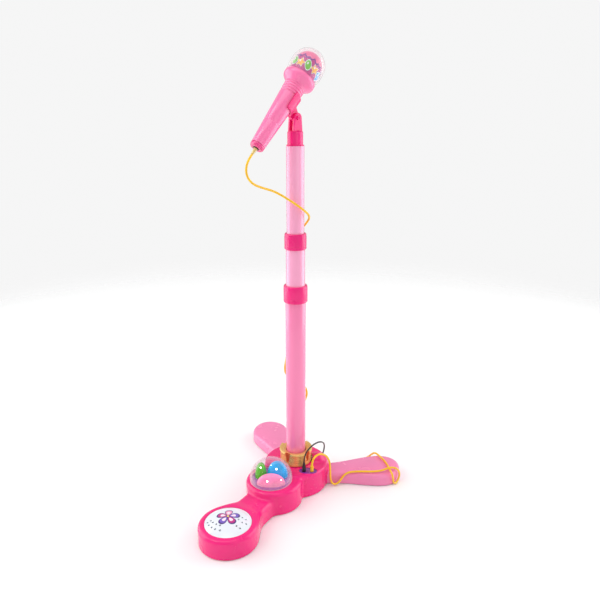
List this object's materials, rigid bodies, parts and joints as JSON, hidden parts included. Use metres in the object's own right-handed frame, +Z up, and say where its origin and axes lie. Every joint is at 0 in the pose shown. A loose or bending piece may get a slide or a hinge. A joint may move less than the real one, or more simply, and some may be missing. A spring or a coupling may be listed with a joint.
{
  "type": "toy microphone on telescopic stand",
  "caption": "Toy karaoke microphone in a clip on a telescopic pole, which stands on a legged base with a speaker, a lamp dome, sockets and cords.",
  "frame": {"origin": "centre of the round boss under the base, on the pole's axis and level with the feet", "axes": "+Z up along the pole, -Y towards the speaker leg, +X to the base's right"},
  "size_m": [0.3262, 0.3785, 0.7473],
  "materials": {
    "hot_pink": "glossy moulded ABS",
    "light_pink": "glossy moulded ABS",
    "pale_pink": "glossy extruded tube",
    "mic_pink": "glossy moulded ABS",
    "white_plastic": "satin white plastic",
    "gold_plated": "gold vacuum-plated plastic",
    "purple_plastic": "purple metallic plastic",
    "black_plastic": "black moulding",
    "cord_yellow": "soft yellow PVC cord",
    "cord_black": "soft black PVC cord",
    "foot_rubber": "matt soft rubber",
    "steel": "zinc-plated screws",
    "circuit_board": "solder-masked board",
    "cone_paper": "treated paper cone",
    "cream_plastic": "soft cream gland",
    "cell_jacket": "foil battery jacket",
    "clear_shell": "clear polystyrene",
    "green_lens": "tinted clear plastic",
    "blue_lens": "tinted clear plastic",
    "pink_lens": "tinted clear plastic",
    "natural_plastic": "natural acetal"
  },
  "bodies": {
    "stand": {"base_shell": "hot_pink", "bottom_cover": "hot_pink", "battery_door": "hot_pink", "battery_1": "cell_jacket", "battery_2": "cell_jacket", "battery_3": "cell_jacket", "cover_screw_1": "steel", "cover_screw_2": "steel", "cover_screw_3": "steel", "door_screw": "steel", "speaker_foot": "foot_rubber", "speaker_frame": "black_plastic", "speaker_magnet": "steel", "speaker_cone": "cone_paper", "speaker_grille": "white_plastic", "light_dome": "clear_shell", "light_tray": "purple_plastic", "led_board": "white_plastic", "green_lens": "green_lens", "blue_lens": "blue_lens", "pink_lens": "pink_lens", "main_board": "circuit_board", "jack_plate": "purple_plastic", "aux_jack": "black_plastic", "mic_jack": "black_plastic", "gold_ring": "gold_plated", "right_paddle": "light_pink", "right_foot": "foot_rubber", "left_paddle": "light_pink", "left_foot": "foot_rubber", "bottom_tube": "light_pink", "lower_bush": "natural_plastic", "mic_cord": "cord_yellow", "mic_plug": "cord_yellow", "aux_plug": "black_plastic", "aux_cord": "cord_black", "aux_coil": "cord_black", "aux_far_plug": "black_plastic"},
    "power_switch": {"power_switch": "black_plastic"},
    "lower_collar": {"lower_collar": "hot_pink"},
    "middle_pole": {"middle_tube": "pale_pink", "middle_glide": "natural_plastic", "upper_bush": "natural_plastic"},
    "upper_collar": {"upper_collar": "hot_pink"},
    "top_pole": {"top_tube": "pale_pink", "top_glide": "natural_plastic", "pole_cap": "hot_pink", "pivot_screw": "hot_pink", "pivot_nut": "steel"},
    "clip": {"mic_clip": "hot_pink"},
    "microphone": {"handle_front": "mic_pink", "handle_back": "mic_pink", "handle_screw_1": "steel", "handle_screw_2": "steel", "tail_cap": "hot_pink", "cord_gland": "cream_plastic", "head_cup": "mic_pink", "head_dome": "clear_shell", "inner_ball": "mic_pink", "mic_capsule": "black_plastic"}
  },
  "joints": [
    {"name": "middle_slide", "type": "slide", "parent": "stand", "child": "middle_pole", "axis": [0, 0, 1], "range_m": [-0.061, 0.14], "deforming": ["mic_cord"]},
    {"name": "top_slide", "type": "slide", "parent": "middle_pole", "child": "top_pole", "axis": [0, 0, 1], "range_m": [-0.133, 0.07], "deforming": ["mic_cord"]},
    {"name": "lower_collar_twist", "type": "hinge", "parent": "stand", "child": "lower_collar", "pos_m": [0, 0, 0.362], "axis": [0, 0, 1], "range_deg": [0, 45]},
    {"name": "upper_collar_twist", "type": "hinge", "parent": "middle_pole", "child": "upper_collar", "pos_m": [0, 0, 0.452], "axis": [0, 0, 1], "range_deg": [0, 45]},
    {"name": "clip_tilt", "type": "hinge", "parent": "top_pole", "child": "clip", "pos_m": [0, 0, 0.645], "axis": [0.9537, -0.3007, 0], "range_deg": [-45, 35], "deforming": ["mic_cord"]},
    {"name": "mic_lift", "type": "slide", "parent": "clip", "child": "microphone", "axis": [0.1953, 0.6194, 0.7604], "range_m": [0, 0.11], "deforming": ["mic_cord"]},
    {"name": "power_switch_slide", "type": "slide", "parent": "stand", "child": "power_switch", "axis": [1, 0, 0], "range_m": [0, 0.005]}
  ]
}
